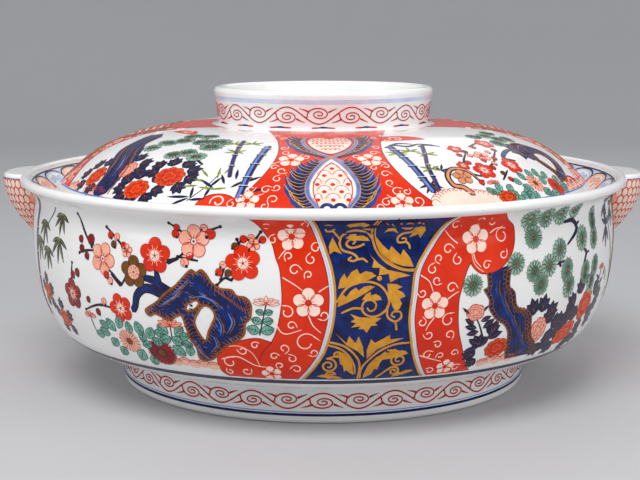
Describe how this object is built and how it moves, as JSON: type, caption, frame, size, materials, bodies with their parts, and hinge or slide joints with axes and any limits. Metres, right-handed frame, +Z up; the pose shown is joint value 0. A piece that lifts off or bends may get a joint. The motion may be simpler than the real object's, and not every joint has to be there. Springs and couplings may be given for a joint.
{
  "type": "covered rice bowl",
  "caption": "Wide turned porcelain serving bowl on a foot ring, with a lug handle on each side and a loose domed lid with a grip ring.",
  "frame": {"origin": "centre of the foot ring's underside, on the bowl's turning axis", "axes": "+Z up along the turning axis, X through the two handles, front with the centred blue panel towards -Y"},
  "size_m": [0.3, 0.28, 0.1353],
  "materials": {
    "porcelain_white": "clear glossy glaze over white porcelain",
    "iron_red": "orange-red overglaze enamel",
    "cobalt_blue": "dark underglaze cobalt",
    "gold_enamel": "fired gold, satin",
    "green_enamel": "translucent green overglaze enamel",
    "pink_enamel": "thin pale red overglaze wash",
    "pale_blue": "thin underglaze cobalt line",
    "brown_line": "dark overglaze brush line"
  },
  "bodies": {
    "bowl": {"bowl_body": "porcelain_white", "bowl_foot_ring": "porcelain_white", "handle_left": "porcelain_white", "handle_right": "porcelain_white"},
    "lid": {"lid_dome": "porcelain_white", "lid_grip_ring": "porcelain_white"}
  },
  "joints": [
    {"name": "lid_lift", "type": "slide", "parent": "bowl", "child": "lid", "axis": [0, 0, 1], "range_m": [0, 0.12]}
  ]
}
